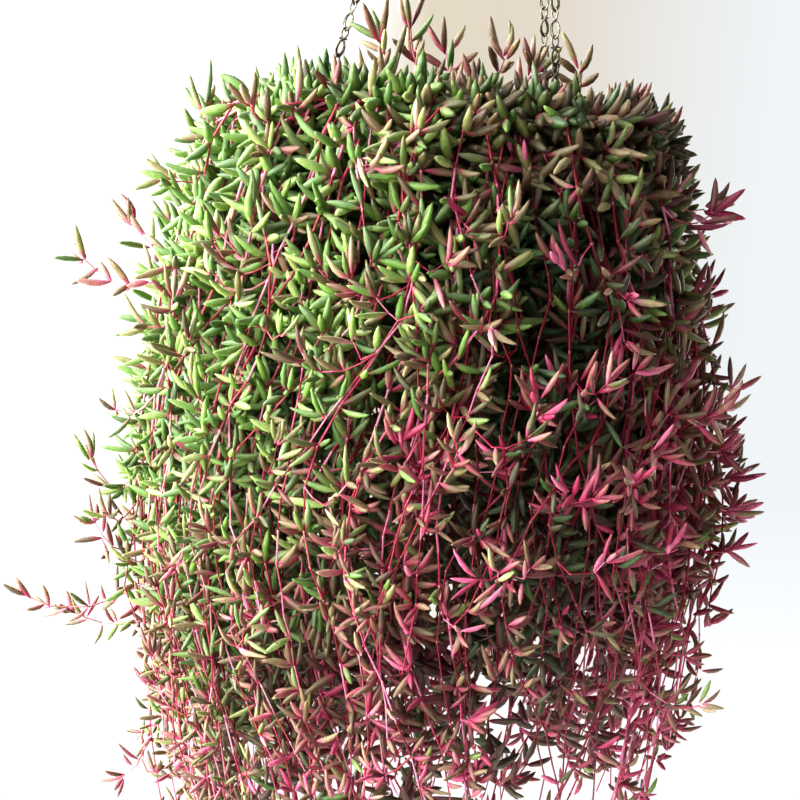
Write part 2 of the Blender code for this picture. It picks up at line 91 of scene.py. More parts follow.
add_light("window", (-2.3, -0.85, -0.2), (0, 0, -0.85), (3.1, 3.2), 262, (0.98, 0.99, 1.0))
add_light("window_edge", (-2.0, 1.3, -0.2), (0, 0, -0.85), (1.6, 2.0), 92, (0.99, 0.99, 1.0))
add_light("far_wall", (1.9, 1.7, -0.4), (0, 0, -0.85), (1.6, 2.0), 38, (1.0, 0.95, 0.94))
add_light("room", (1.4, -2.4, 0.3), (0, 0, -0.9), (1.6, 1.6), 4.5, (1.0, 0.95, 0.93))

world = bpy.data.worlds.new("room_light")
bpy.context.scene.world = world
world.use_nodes = True
sky = world.node_tree
direction = sky.nodes.new("ShaderNodeTexCoord")
parts = sky.nodes.new("ShaderNodeSeparateXYZ")
sky.links.new(direction.outputs["Generated"], parts.inputs[0])


def sky_colour(from_x, to_x, stops):
    """Colours of the room that change with the direction's X, from the window's side to the other."""
    reach = sky.nodes.new("ShaderNodeMapRange")
    reach.inputs["From Min"].default_value = from_x
    reach.inputs["From Max"].default_value = to_x
    ramp = sky.nodes.new("ShaderNodeValToRGB")
    sky.links.new(parts.outputs["X"], reach.inputs["Value"])
    sky.links.new(reach.outputs[0], ramp.inputs[0])
    ramp.color_ramp.elements[0].color = (*stops[0], 1)
    ramp.color_ramp.elements[1].color = (*stops[-1], 1)
    for number, colour in enumerate(stops[1:-1], 1):
        ramp.color_ramp.elements.new(number / (len(stops) - 1)).color = (*colour, 1)
    return ramp.outputs[0]


wall = sky_colour(WALL_FROM_X, WALL_TO_X, WALL_COLOURS)
low = sky.nodes.new("ShaderNodeMapRange")
low.inputs["From Min"].default_value = LOW_WALL_FROM_Z
low.inputs["From Max"].default_value = LOW_WALL_TO_Z
sky.links.new(parts.outputs["Z"], low.inputs["Value"])
paler = sky.nodes.new("ShaderNodeMix")
paler.data_type = "RGBA"
sky.links.new(low.outputs[0], paler.inputs["Factor"])
sky.links.new(wall, paler.inputs[6])
paler.inputs[7].default_value = LOW_WALL_COLOUR
wall = paler.outputs[2]

# The camera sees the wall. The plant is lit by the room instead.
glow = sky_colour(-1, 1, ROOM_GLOW)
seen = sky.nodes.new("ShaderNodeLightPath")
shown = sky.nodes.new("ShaderNodeMix")
shown.data_type = "RGBA"
sky.links.new(seen.outputs["Is Camera Ray"], shown.inputs["Factor"])
sky.links.new(glow, shown.inputs[6])
sky.links.new(wall, shown.inputs[7])
sky.links.new(shown.outputs[2], sky.nodes["Background"].inputs["Color"])

bm = bmesh.new()
bmesh.ops.create_circle(bm, cap_ends=True, segments=64, radius=FLOOR_R,
                        matrix=Matrix.Translation((0, 0, FLOOR_Z)))
floor_mesh = bpy.data.meshes.new("floor")
bm.to_mesh(floor_mesh)
bm.free()
floor = bpy.data.objects.new("floor", floor_mesh)
bpy.context.scene.collection.objects.link(floor)
floor_paint = bpy.data.materials.new("pale_floor")
floor_paint.use_nodes = True
paint = floor_paint.node_tree.nodes["Principled BSDF"]
paint.inputs["Base Color"].default_value = FLOOR_COLOUR
paint.inputs["Roughness"].default_value = 0.8
floor_mesh.materials.append(floor_paint)


# Hook. One steel wire, bent as a closed eye, a short shank and an open hook with its tip turned out. It was
# dipped in zinc, which has gone grey and blotchy. It lies in one plane, and the seat of its bend is the
# origin. The chains are looped through its eye.
HOOK_WIRE_R = 0.00125
HOOK_BEND_R = 0.016
HOOK_EYE_R = 0.009
HOOK_SHANK = 0.012
HOOK_TIP = 0.006
S_TURN = math.radians(60)
EYE_TURN = math.radians(325)
HOOK_EYE_Z = HOOK_WIRE_R - HOOK_BEND_R - 2 * (HOOK_BEND_R + HOOK_EYE_R) * math.sin(S_TURN) - HOOK_SHANK


def bent(start, heading, bends, step=math.radians(12)):
    """Points of a wire bent in one plane. A bend is a straight (length, 0) or an arc (radius, turn)."""
    here, points = Vector(start), [Vector(start)]
    for size, turn in bends:
        if turn == 0:
            here = here + Vector((math.cos(heading), math.sin(heading))) * size
            points.append(here)
            continue
        side = math.copysign(1.0, turn)
        centre = here + Vector((-math.sin(heading), math.cos(heading))) * side * size
        pieces = max(1, round(abs(turn) / step))
        for _ in range(pieces):
            heading += turn / pieces
            here = centre - Vector((-math.sin(heading), math.cos(heading))) * side * size
            points.append(here)
    return points


def wire(name, points, radius, resolution):
    """A round wire through the points, closed at both ends."""
    curve = bpy.data.curves.new(name, "CURVE")
    curve.dimensions = "3D"
    curve.bevel_depth = radius
    curve.bevel_resolution = resolution
    curve.use_fill_caps = True
    spline = curve.splines.new("POLY")
    spline.points.add(len(points) - 1)
    for spot, place in zip(spline.points, points):
        spot.co = (*place, 1.0)
    holder = bpy.data.objects.new(name, curve)
    mesh = bpy.data.meshes.new_from_object(holder)
    bpy.data.objects.remove(holder)
    bpy.data.curves.remove(curve)
    mesh.shade_smooth()
    mesh.set_sharp_from_angle(angle=math.radians(50))
    mesh.name = name
    return mesh


def place_piece(mesh, material, slot, *nodes):
    """Hangs a finished mesh in the scene in place of its solids."""
    mesh.materials.clear()
    mesh.materials.append(material)
    piece = bpy.data.objects.new(mesh.name, mesh)
    bpy.context.scene.collection.objects.link(piece)
    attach(piece, "root")
    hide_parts(*nodes)


def mix_colours(tree, share, first, second):
    """A colour between two others. Each value is a socket or a constant."""
    mix = tree.nodes.new("ShaderNodeMix")
    mix.data_type = "RGBA"
    for socket, value in ((mix.inputs["Factor"], share), (mix.inputs[6], first), (mix.inputs[7], second)):
        if isinstance(value, bpy.types.NodeSocket):
            tree.links.new(value, socket)
        else:
            socket.default_value = value
    return mix.outputs[2]


def sums(tree, operation, first, second=0.0, third=0.0, clamp=False):
    """The result of one sum on sockets or constants, kept within 0 and 1 if clamped."""
    node = tree.nodes.new("ShaderNodeMath")
    node.operation = operation
    node.use_clamp = clamp
    for socket, value in zip(node.inputs, (first, second, third)):
        if isinstance(value, bpy.types.NodeSocket):
            tree.links.new(value, socket)
        else:
            socket.default_value = value
    return node.outputs[0]


def attribute(tree, name):
    node = tree.nodes.new("ShaderNodeAttribute")
    node.attribute_name = name
    return node.outputs["Fac"]


def noise(tree, scale, detail=2.0):
    """A cloudy pattern fixed to the piece, with so many clouds a metre."""
    place = tree.nodes.new("ShaderNodeTexCoord")
    node = tree.nodes.new("ShaderNodeTexNoise")
    node.inputs["Scale"].default_value = scale
    node.inputs["Detail"].default_value = detail
    tree.links.new(place.outputs["Object"], node.inputs["Vector"])
    return node.outputs["Fac"]


def ramp_of(tree, value, stops):
    """The colour for a value, between stops of (value, colour)."""
    node = tree.nodes.new("ShaderNodeValToRGB")
    tree.links.new(value, node.inputs[0])
    bar = node.color_ramp
    bar.elements[0].position, bar.elements[0].color = stops[0][0], (*stops[0][1], 1)
    bar.elements[1].position, bar.elements[1].color = stops[-1][0], (*stops[-1][1], 1)
    for spot, colour in stops[1:-1]:
        bar.elements.new(spot).color = (*colour, 1)
    return node.outputs["Color"]


def bumps(tree, height, depth, strength):
    node = tree.nodes.new("ShaderNodeBump")
    node.inputs["Distance"].default_value = depth
    node.inputs["Strength"].default_value = strength
    tree.links.new(height, node.inputs["Height"])
    tree.links.new(node.outputs[0], tree.nodes["Principled BSDF"].inputs["Normal"])


zinc = bpy.data.materials.new("weathered_zinc")
zinc.use_nodes = True
tree = zinc.node_tree
metal = tree.nodes["Principled BSDF"]
metal.inputs["Metallic"].default_value = 1.0
blotch, grain = noise(tree, 420, 3.0), noise(tree, 2600)
worn = sums(tree, "MULTIPLY_ADD", grain, 0.4, sums(tree, "MULTIPLY", blotch, 0.7))
colour = ramp_of(tree, worn, [
    (0.30, (0.040, 0.033, 0.021)), (0.45, (0.110, 0.094, 0.064)), (0.60, (0.210, 0.190, 0.145)),
    (0.80, (0.370, 0.355, 0.300)),
])
tree.links.new(colour, metal.inputs["Base Color"])
tree.links.new(sums(tree, "MULTIPLY_ADD", grain, -0.35, 0.68), metal.inputs["Roughness"])
bumps(tree, worn, 0.0002, 0.5)

tip_at = S_TURN - EYE_TURN
eye_tip = (HOOK_EYE_R * math.cos(tip_at), HOOK_EYE_Z + HOOK_EYE_R * math.sin(tip_at))
flat = bent(eye_tip, tip_at + math.pi / 2, [
    (HOOK_EYE_R, EYE_TURN), (HOOK_EYE_R, -S_TURN), (HOOK_SHANK, 0),
    (HOOK_BEND_R, -S_TURN), (HOOK_BEND_R, S_TURN), (HOOK_BEND_R, math.pi),
    (HOOK_TIP, 0), (HOOK_BEND_R, -S_TURN / 2),
])
hook = wire("hook_wire", [(x, 0, z) for x, z in flat], HOOK_WIRE_R, 4)
place_piece(hook, zinc, "zinc_steel", "hook")


# Clips. A wire comes down outside the pot's flange, turns under it, rises through a hole and ends in a closed
# eye, in the plane of its own chain. There are three, evenly round the pot.
CLIP_WIRE_R = 0.0010
CLIP_BEND_R = 0.004
CLIP_EYE_R = 0.005
CLIP_RISE = 0.0085
CLIP_TIP = 0.003
CLIP_PLAY = 0.0003
FLANGE_THICKNESS = 0.003
HOLES_AT = 0.1115
CHAIN_ANGLES = [math.radians(60), math.radians(180), math.radians(300)]
LINKS = 27
LINK_PITCH = 0.0199
CLIP_EYE_ABOVE = CLIP_RISE - FLANGE_THICKNESS + 2 * CLIP_EYE_R * math.sin(S_TURN) + CLIP_EYE_R
CHAIN_DROP = math.sqrt((LINKS * LINK_PITCH) ** 2 - HOLES_AT**2)
RIM_Z = HOOK_EYE_Z - HOOK_EYE_R - CHAIN_DROP - CLIP_EYE_ABOVE

for number, angle in enumerate(CHAIN_ANGLES, 1):
    flat = bent((HOLES_AT + 2 * CLIP_BEND_R, RIM_Z - FLANGE_THICKNESS + CLIP_TIP), -math.pi / 2, [
        (CLIP_TIP + CLIP_PLAY, 0), (CLIP_BEND_R, -math.pi), (CLIP_RISE + CLIP_PLAY, 0),
        (CLIP_EYE_R, S_TURN), (CLIP_EYE_R, -EYE_TURN),
    ])
    turned = [(r * math.cos(angle), r * math.sin(angle), z) for r, z in flat]
    clip = wire(f"clip_wire_{number}", turned, CLIP_WIRE_R, 3)
    place_piece(clip, zinc, "zinc_steel", f"clip_{number}")


# Chains. Knotted links of thin zinc-coated wire: each is one narrow loop above and a doubled loop below, with
# the wire's two ends crossed at its waist. A link's upper loop goes round the foot of the link above. Half of
# each loop is listed, as (X, Z) from the waist on.
LINK_WIRE_R = 0.0007
WAIST = -0.0090
UPPER_LOOP = [(0.0, WAIST), (0.0017, -0.0068), (0.0024, -0.0040), (0.0019, -0.0012), (0.0, 0.0)]
INNER_LOOP = [(0.0, WAIST), (0.0016, -0.0112), (0.0023, -0.0142), (0.0023, -0.0172), (0.0014, -0.0198)]
OUTER_LOOP = [(0.0, WAIST), (0.0020, -0.0108), (0.0033, -0.0142), (0.0033, -0.0178), (0.0020, -0.0208)]
FIRST_END = [(-0.0026, 0.0016, -0.0084), (0.0, 0.0016, -0.0093)]
LAST_END = [(0.0, -0.0016, -0.0092), (0.0026, -0.0016, -0.0084)]
EYE_SPREAD = math.radians(34)
EYE_ORDER = [0, -1, 1]
# The way that the links face, in degrees: the first two suit the hook's eye, then two ways by turns.
FIRST_FACINGS = [90, 55]
FACINGS = [20, -30]


def knotted_link(length):
    """A link as one wire, from its upper loop's top at the origin down to the inside of its foot.

    It goes round the inner loop, the upper loop and the outer loop. Y keeps its passes apart at the waist.
    """
    route = FIRST_END + [(x, 0.0012 * (1 - step / 4), z) for step, (x, z) in enumerate(INNER_LOOP[1:])]
    route += [(0.0, 0.0, -length)]
    route += [(-x, -0.0006 * step / 4, z) for step, (x, z) in enumerate(INNER_LOOP[:0:-1])]
    route += [(0.0, -0.0006, WAIST)]
    route += [(x, -0.0005 + 0.0001 * step, z) for step, (x, z) in enumerate(UPPER_LOOP[1:])]
    route += [(-x, 0.0001 * step, z) for step, (x, z) in enumerate(UPPER_LOOP[-2:0:-1])]
    route += [(0.0, 0.0005, WAIST)]
    route += [(x, 0.0004 * (1 - step / 3), z) for step, (x, z) in enumerate(OUTER_LOOP[1:])]
    route += [(0.0, 0.0, -length - 2 * LINK_WIRE_R)]
    route += [(-x, -0.0012 * step / 3, z) for step, (x, z) in enumerate(OUTER_LOOP[:0:-1])]
    return wire("link", route + LAST_END, LINK_WIRE_R, 1)


for number, angle in enumerate(CHAIN_ANGLES):
    around = EYE_SPREAD * EYE_ORDER[number] - math.pi / 2
    inside = HOOK_EYE_R - HOOK_WIRE_R - LINK_WIRE_R
    upper = Vector((inside * math.cos(around), 0.0, HOOK_EYE_Z + inside * math.sin(around)))
    lower = Vector((HOLES_AT * math.cos(angle), HOLES_AT * math.sin(angle), 0))
    lower.z = RIM_Z + CLIP_EYE_ABOVE - CLIP_WIRE_R - LINK_WIRE_R
    down = (lower - upper).normalized()
    overlap = 2 * LINK_WIRE_R
    length = ((lower - upper).length + (LINKS - 1) * overlap) / LINKS
    link = knotted_link(length)
    # The last link stands across its clip's eye, and the one before it halfway between.
    last = (math.degrees(angle) + 90) % 180
    turns = FIRST_FACINGS + FACINGS * ((LINKS - 5) // 2) + FACINGS[:1]
    turns += [(FACINGS[0] + last) / 2 - (90 if last > 140 else 0), last if last <= 90 else last - 180]
    bm = bmesh.new()
    for place, turn in enumerate(turns):
        top = upper + down * place * (length - overlap)
        facing = Vector((math.cos(math.radians(turn)), math.sin(math.radians(turn)), 0))
        across = (facing - down * facing.dot(down)).normalized()
        here = Matrix((across, across.cross(down), -down)).transposed().to_4x4()
        here.translation = top
        copy = link.copy()
        copy.transform(here)
        bm.from_mesh(copy)
        bpy.data.meshes.remove(copy)
    chain = bpy.data.meshes.new(f"link_chain_{number + 1}")
    bm.to_mesh(chain)
    bm.free()
    place_piece(chain, zinc, "zinc_steel", f"chain_{number + 1}")


# Pot. A round tapered pot of dark plastic, moulded in one piece with a flat flange round its rim, which has a
# hole for each clip. A step runs round its foot, and four holes in its base drain it. Dust lies on it.
POT_RIM_R = 0.1065
POT_BASE_R = 0.080
POT_HEIGHT = 0.160
POT_WALL = 0.0025
FLANGE_R = 0.118
EDGE_ROUNDING = 0.0006
CLIP_HOLE_R = 0.0025
DRAIN_HOLES = 4
DRAINS_AT = 0.045
DRAIN_R = 0.0045
DRILL_LENGTH = 0.02

BASE_Z = RIM_Z - POT_HEIGHT
UNDER_Z = RIM_Z - FLANGE_THICKNESS
inside_base = POT_BASE_R - POT_WALL
bm = bmesh.new()
# Half of the pot's section, from the middle of its floor over the flange to the middle of its base.
outline = [
    bm.verts.new((r, 0, z)) for r, z in [
        (0.0, BASE_Z + POT_WALL), (inside_base, BASE_Z + POT_WALL), (POT_RIM_R - POT_WALL, RIM_Z),
        (FLANGE_R, RIM_Z), (FLANGE_R, UNDER_Z), (POT_RIM_R, UNDER_Z),
        (POT_BASE_R + 0.003, BASE_Z + 0.018), (POT_BASE_R + 0.0012, BASE_Z + 0.017),
        (POT_BASE_R, BASE_Z), (POT_BASE_R - 0.006, BASE_Z), (POT_BASE_R - 0.008, BASE_Z + 0.0015),
        (0.0, BASE_Z + 0.0015),
    ]
]
for pair in zip(outline, outline[1:]):
    bm.edges.new(pair)
bmesh.ops.bevel(bm, geom=outline[1:-1], affect="VERTICES", offset=EDGE_ROUNDING, segments=3, profile=0.5,
                material=-1)
bmesh.ops.spin(bm, geom=bm.verts[:] + bm.edges[:], cent=(0, 0, 0), axis=(0, 0, 1), angle=2 * math.pi,
               steps=96, use_merge=True)
bmesh.ops.remove_doubles(bm, verts=bm.verts, dist=1e-6)
bmesh.ops.recalc_face_normals(bm, faces=bm.faces)
pot_mesh = bpy.data.meshes.new("undrilled_pot")
bm.to_mesh(pot_mesh)
bm.free()

drain_angles = [math.radians(45 + 360 / DRAIN_HOLES * number) for number in range(DRAIN_HOLES)]
bm = bmesh.new()
for angles, away, height, radius in (
    (CHAIN_ANGLES, HOLES_AT, RIM_Z, CLIP_HOLE_R), (drain_angles, DRAINS_AT, BASE_Z, DRAIN_R),
):
    for angle in angles:
        place = Matrix.Translation((away * math.cos(angle), away * math.sin(angle), height))
        bmesh.ops.create_cone(bm, cap_ends=True, segments=24, radius1=radius, radius2=radius,
                              depth=DRILL_LENGTH, matrix=place)
drill_mesh = bpy.data.meshes.new("drills")
bm.to_mesh(drill_mesh)
bm.free()
drills = bpy.data.objects.new("drills", drill_mesh)
blank = bpy.data.objects.new("pot_blank", pot_mesh)
for made in (drills, blank):
    bpy.context.scene.collection.objects.link(made)
drilled = blank.modifiers.new("holes", "BOOLEAN")
drilled.operation = "DIFFERENCE"
drilled.solver = "EXACT"
drilled.object = drills
pot_mesh = bpy.data.meshes.new_from_object(blank.evaluated_get(bpy.context.evaluated_depsgraph_get()))
bpy.data.objects.remove(blank)
bpy.data.objects.remove(drills)
pot_mesh.name = "moulded_pot"
pot_mesh.shade_smooth()
pot_mesh.set_sharp_from_angle(angle=math.radians(35))

plastic = bpy.data.materials.new("dark_plastic")
plastic.use_nodes = True
tree = plastic.node_tree
shell = tree.nodes["Principled BSDF"]
cloud, grain = noise(tree, 38, 4.0), noise(tree, 900)
dust = sums(tree, "MULTIPLY_ADD", sums(tree, "MULTIPLY", cloud, grain), 5.0, -1.0, clamp=True)
colour = ramp_of(tree, cloud, [(0.35, (0.030, 0.034, 0.030)), (0.65, (0.062, 0.066, 0.060))])
colour = mix_colours(tree, sums(tree, "MULTIPLY", dust, 0.35), colour, (0.19, 0.16, 0.12, 1))
tree.links.new(colour, shell.inputs["Base Color"])
tree.links.new(sums(tree, "MULTIPLY_ADD", dust, 0.3, 0.42), shell.inputs["Roughness"])
bumps(tree, grain, 0.0002, 0.35)
place_piece(pot_mesh, plastic, "pot_plastic", "pot")


# Soil. Dark peat heaped a little in the middle of the pot, a finger below its rim, with bits of bark and pale
# grit pressed into its top. Every stem is rooted in it.
SOIL_EDGE_R = 0.1015
SOIL_BELOW_RIM = 0.012
SOIL_HEAP = 0.006
SOIL_HEAP_R = 0.104
SOIL_RINGS = 34
SOIL_GAP = 0.0004
CRUMBS = 420
GRIT_SIZES = (0.0010, 0.0019)
BARK_SIZES = (0.0014, 0.0032)


def soil_top(radius):
    """The height of the heap at a distance from the pot's middle."""
    return RIM_Z - SOIL_BELOW_RIM + SOIL_HEAP * (1 - (radius / SOIL_HEAP_R) ** 2)


def rough(place):
    """How far the crumbly top stands up or down at a place: clods a finger wide, with crumbs on them."""
    return 0.0016 * turbulence(place * 90, 4, False) + 0.0012 * turbulence(place * 320, 3, False) - 0.0016


bm = bmesh.new()
edge_low = inside_base + 0.0006
soil_base = BASE_Z + POT_WALL + SOIL_GAP
radii = [SOIL_EDGE_R * ring / SOIL_RINGS for ring in range(SOIL_RINGS + 1)]
outline = [bm.verts.new((r, 0, z)) for r, z in (
    [(radius, soil_top(radius)) for radius in radii] + [(edge_low, soil_base), (0.0, soil_base)]
)]
for pair in zip(outline, outline[1:]):
    bm.edges.new(pair)
bmesh.ops.spin(bm, geom=bm.verts[:] + bm.edges[:], cent=(0, 0, 0), axis=(0, 0, 1), angle=2 * math.pi,
               steps=120, use_merge=True)
bmesh.ops.remove_doubles(bm, verts=bm.verts, dist=1e-6)
bmesh.ops.recalc_face_normals(bm, faces=bm.faces)
for vert in bm.verts:
    if vert.co.z > RIM_Z - 0.03:
        vert.co.z += rough(vert.co)
for face in bm.faces:
    face.smooth = True
scatter = random.Random(77)
for number in range(CRUMBS):
    radius, angle = SOIL_EDGE_R * 0.97 * math.sqrt(scatter.random()), scatter.uniform(0, 2 * math.pi)
    spot = Vector((radius * math.cos(angle), radius * math.sin(angle), 0))
    spot.z = soil_top(radius)
    spot.z += rough(spot) + 0.0003
    grit = number % 3 == 0
    size = scatter.uniform(*(GRIT_SIZES if grit else BARK_SIZES))
    shape = Matrix.Diagonal((1, scatter.uniform(0.5, 1), scatter.uniform(0.4, 0.8), 1))
    turn = Quaternion(Vector([scatter.gauss(0, 1) for _ in range(3)]).normalized(), scatter.uniform(0, 3))
    crumb = bmesh.ops.create_icosphere(bm, subdivisions=1, radius=size,
                                       matrix=Matrix.Translation(spot) @ turn.to_matrix().to_4x4() @ shape)
    for face in {face for vert in crumb["verts"] for face in vert.link_faces}:
        face.material_index = 1 if grit else 2
soil_mesh = bpy.data.meshes.new("peat")
bm.to_mesh(soil_mesh)
bm.free()

peat, perlite, bark = (bpy.data.materials.new(name) for name in ("damp_peat", "white_grit", "bark_chips"))
for kind, scale, stops in (
    (peat, 700, [
        (0.30, (0.012, 0.008, 0.005)), (0.50, (0.045, 0.028, 0.018)), (0.72, (0.130, 0.085, 0.050)),
    ]),
    (perlite, 900, [(0.30, (0.420, 0.390, 0.330)), (0.70, (0.780, 0.760, 0.700))]),
    (bark, 500, [(0.30, (0.060, 0.028, 0.012)), (0.70, (0.240, 0.130, 0.065))]),
):
    kind.use_nodes = True
    tree = kind.node_tree
    earth = tree.nodes["Principled BSDF"]
    crumble = noise(tree, scale, 5.0)
    tree.links.new(ramp_of(tree, crumble, stops), earth.inputs["Base Color"])
    tree.links.new(sums(tree, "MULTIPLY_ADD", crumble, 0.2, 0.75), earth.inputs["Roughness"])
    bumps(tree, crumble, 0.0006, 0.8)
place_piece(soil_mesh, peat, "potting_soil", "soil")
soil_mesh.materials.append(perlite)
soil_mesh.materials.append(bark)


# Leaves. The real ones are small water-filled spindles, pointed at both ends and curved a little upwards,
# green in the shade and ruby where the sun reaches them, most of all at the foot. They grow straight out of a
# node. Those at the back are plainer.
MAP = "OFBake"


def spindle(name, sides, stations, bend, flat):
    """A closed shape 1 m long and wide along +Z, curved towards +X, to be made small by its copies.

    A station is (share of the length, share of the width). Each point is marked with its share of the length
    and with how far it is on the upper side, and the shape has a map.
    """
    bm = bmesh.new()
    bm.loops.layers.uv.new(MAP)
    rings = len(stations) - 1
    bmesh.ops.create_uvsphere(bm, u_segments=sides, v_segments=rings, radius=0.5, calc_uvs=True)
    along = bm.verts.layers.float.new("along")
    above = bm.verts.layers.float.new("above")
    for vert in bm.verts:
        ring = round(math.acos(max(-1, min(1, -2 * vert.co.z))) / math.pi * rings)
        share, wide = stations[ring]
        round_ = math.hypot(vert.co.x, vert.co.y)
        out = Vector((vert.co.x, vert.co.y)) / round_ * 0.5 * wide if wide else Vector((0, 0))
        vert[along] = share
        vert[above] = 0.5 + out.x
        vert.co = (out.x + bend * share**2, out.y * flat, share)
    bmesh.ops.recalc_face_normals(bm, faces=bm.faces)
    for face in bm.faces:
        face.smooth = True
    mesh = bpy.data.meshes.new(name)
    bm.to_mesh(mesh)
    bm.free()
    return mesh


LEAF_STATIONS = [(0.0, 0.0), (0.09, 0.40), (0.34, 0.93), (0.62, 0.98), (0.89, 0.52), (1.0, 0.0)]
INNER_STATIONS = [(0.0, 0.0), (0.18, 0.62), (0.54, 1.0), (0.86, 0.62), (1.0, 0.0)]
BENDS = [-0.3, 0.6, 1.3, 2.0]
LEAF_THICKNESS = 0.88
BROWN_TIP = (0.16, 0.06, 0.04, 1)
PALE_FLECK = (0.62, 0.66, 0.46, 1)
FINE_LEAVES = [spindle("leaf", 5, LEAF_STATIONS, bend, LEAF_THICKNESS) for bend in BENDS]
PLAIN_LEAVES = [spindle("inner_leaf", 4, INNER_STATIONS, bend, LEAF_THICKNESS) for bend in BENDS]

leaf_skin = bpy.data.materials.new("leaf_skin")
leaf_skin.use_nodes = True
tree = leaf_skin.node_tree
skin = tree.nodes["Principled BSDF"]
along, above, ripe, tone = (attribute(tree, name) for name in ("along", "above", "ripe", "tone"))
mottle = noise(tree, 260)
fine = noise(tree, 1300, 3.0)
# How light a leaf is comes from its clouds, its flecks and its tone. The tone is random, and it is lowered as
# painted shade on inner leaves and in the hollow.
shade = sums(tree, "MULTIPLY_ADD", mottle, 0.5, sums(tree, "MULTIPLY_ADD", tone, 0.8, -0.35))
shade = sums(tree, "MULTIPLY_ADD", fine, 0.5, shade)
green = ramp_of(tree, shade, [
    (0.0, (0.030, 0.078, 0.011)), (0.35, (0.088, 0.198, 0.023)), (0.7, (0.180, 0.350, 0.050)),
    (1.0, (0.385, 0.530, 0.150)),
])
bronze = ramp_of(tree, shade, [
    (0.0, (0.036, 0.022, 0.010)), (0.4, (0.114, 0.071, 0.030)), (0.75, (0.218, 0.146, 0.068)),
    (1.0, (0.360, 0.275, 0.150)),
])
ruby = ramp_of(tree, shade, [
    (0.0, (0.110, 0.004, 0.018)), (0.4, (0.310, 0.011, 0.054)), (0.75, (0.520, 0.042, 0.136)),
    (1.0, (0.720, 0.180, 0.320)),
])
# As it ripens, a leaf turns from green to bronze, then ruby from its foot up, and at last all over.
browned = sums(tree, "MULTIPLY_ADD", ripe, 2.8, -1.02, clamp=True)
slope = sums(tree, "MULTIPLY_ADD", ripe, 2.6, -5.2)
foot = sums(tree, "MULTIPLY_ADD", along, slope, 1.30, clamp=True)
foot = sums(tree, "MULTIPLY", foot, sums(tree, "MULTIPLY_ADD", ripe, 0.8, 0.52, clamp=True))
blush = sums(tree, "MULTIPLY_ADD", ripe, 2.2, -1.95, clamp=True)
blush = sums(tree, "MULTIPLY", blush, sums(tree, "MULTIPLY_ADD", along, -0.75, 1.0))
reddened = sums(tree, "MAXIMUM", foot, blush)
reddened = sums(tree, "MULTIPLY_ADD", sums(tree, "SUBTRACT", mottle, 0.5), 0.5, reddened, clamp=True)
body = mix_colours(tree, reddened, mix_colours(tree, browned, green, bronze), ruby)
# A waxy bloom dulls its upper side, which is also painted paler there as a highlight on the side that faces
# up; its tip is brown, and its skin is flecked.
bloom_and_painted_highlight = sums(tree, "MULTIPLY", sums(tree, "POWER", above, 2.0), 0.30)
waxy_highlight_colour = mix_colours(tree, browned, (0.52, 0.58, 0.48, 1), (0.50, 0.46, 0.29, 1))
dusty_highlight_colour = mix_colours(tree, reddened, waxy_highlight_colour, (0.62, 0.22, 0.34, 1))
body = mix_colours(tree, bloom_and_painted_highlight, body, dusty_highlight_colour)
tip = sums(tree, "MULTIPLY_ADD", along, 14.0, -13.2, clamp=True)
body = mix_colours(tree, sums(tree, "MULTIPLY", tip, 0.6), body, BROWN_TIP)
speck = sums(tree, "MULTIPLY_ADD", fine, 9.0, -5.9, clamp=True)
body = mix_colours(tree, sums(tree, "MULTIPLY", speck, 0.25), body, PALE_FLECK)
tree.links.new(body, skin.inputs["Base Color"])
tree.links.new(sums(tree, "MULTIPLY_ADD", fine, 0.25, 0.34), skin.inputs["Roughness"])
skin.inputs["Subsurface Weight"].default_value = 0.15
skin.inputs["Subsurface Radius"].default_value = (0.6, 1.0, 0.3)
skin.inputs["Subsurface Scale"].default_value = 0.004
bumps(tree, fine, 0.0005, 0.5)


# Stems. Thin, brittle and ruby red, they run nearly straight from one swollen node to the next and turn a
# little at each. They root in the soil, lie over the rim side by side and hang.
STEM_STATIONS = [(0.0, 0.0), (0.04, 1.25), (0.14, 0.82), (0.95, 0.88), (1.0, 0.0)]
INNER_STEM_STATIONS = [(0.0, 0.0), (0.03, 1.0), (0.97, 1.0), (1.0, 0.0)]
# The pale colour painted on each swollen node as a highlight.
NODE_HIGHLIGHT_COLOUR = (0.80, 0.50, 0.46, 1)
FINE_STEM = spindle("internode", 4, STEM_STATIONS, 0.0, 1.0)
PLAIN_STEM = spindle("inner_internode", 3, INNER_STEM_STATIONS, 0.0, 1.0)

stem_skin = bpy.data.materials.new("stem_skin")
stem_skin.use_nodes = True
tree = stem_skin.node_tree
skin = tree.nodes["Principled BSDF"]
ripe, tone = attribute(tree, "ripe"), attribute(tree, "tone")
mottle = noise(tree, 330)
# A stem's tone is random, and it is lowered as painted shade on inner strands and in the hollow.
streak_and_painted_shade = sums(tree, "MULTIPLY_ADD", mottle, 0.55, sums(tree, "MULTIPLY_ADD", tone, 1.0, -0.22))
red = ramp_of(tree, streak_and_painted_shade, [
    (0.0, (0.150, 0.005, 0.016)), (0.35, (0.380, 0.012, 0.044)), (0.7, (0.600, 0.050, 0.145)),
    (1.0, (0.800, 0.280, 0.450)),
])
# Less ripe stems, most of them on the left towards the window, are paler salmon: partly their own colour,
# partly a painted lit side.
salmon_and_lit_side = ramp_of(tree, streak_and_painted_shade, [
    (0.0, (0.150, 0.020, 0.018)), (0.5, (0.440, 0.120, 0.100)), (1.0, (0.720, 0.420, 0.400)),
])
